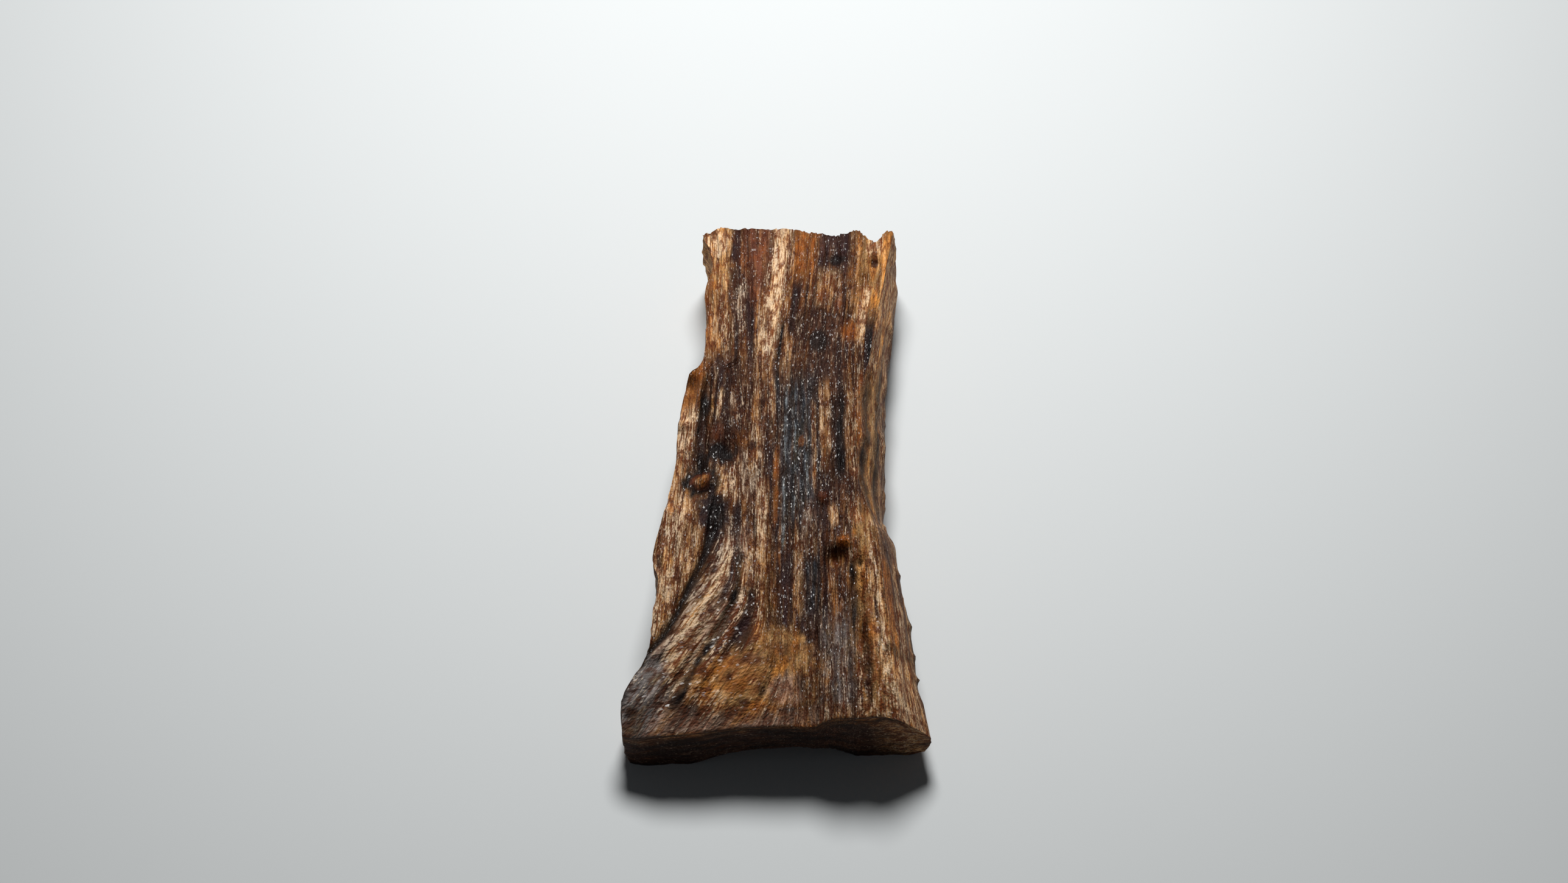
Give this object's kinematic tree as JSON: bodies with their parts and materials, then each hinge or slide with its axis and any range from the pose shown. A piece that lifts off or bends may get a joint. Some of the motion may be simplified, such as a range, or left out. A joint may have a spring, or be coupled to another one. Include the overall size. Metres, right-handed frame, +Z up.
{
  "type": "piece of agarwood",
  "caption": "Small split chip of dark resinous agarwood, flared at its cut end and torn along its sides, for burning or display.",
  "frame": {"origin": "centre of the chip's bounding box in plan, on the plane it rests on", "axes": "+Y along the grain from the cut end to the broken end, +X across the grain, +Z up through the thickness"},
  "size_m": [0.0126, 0.0224, 0.0052],
  "materials": {
    "wood": "split resinous wood, satin on the resin and matt on the pale fibres"
  },
  "bodies": {
    "root": {"agarwood_chip": "wood"}
  },
  "joints": []
}
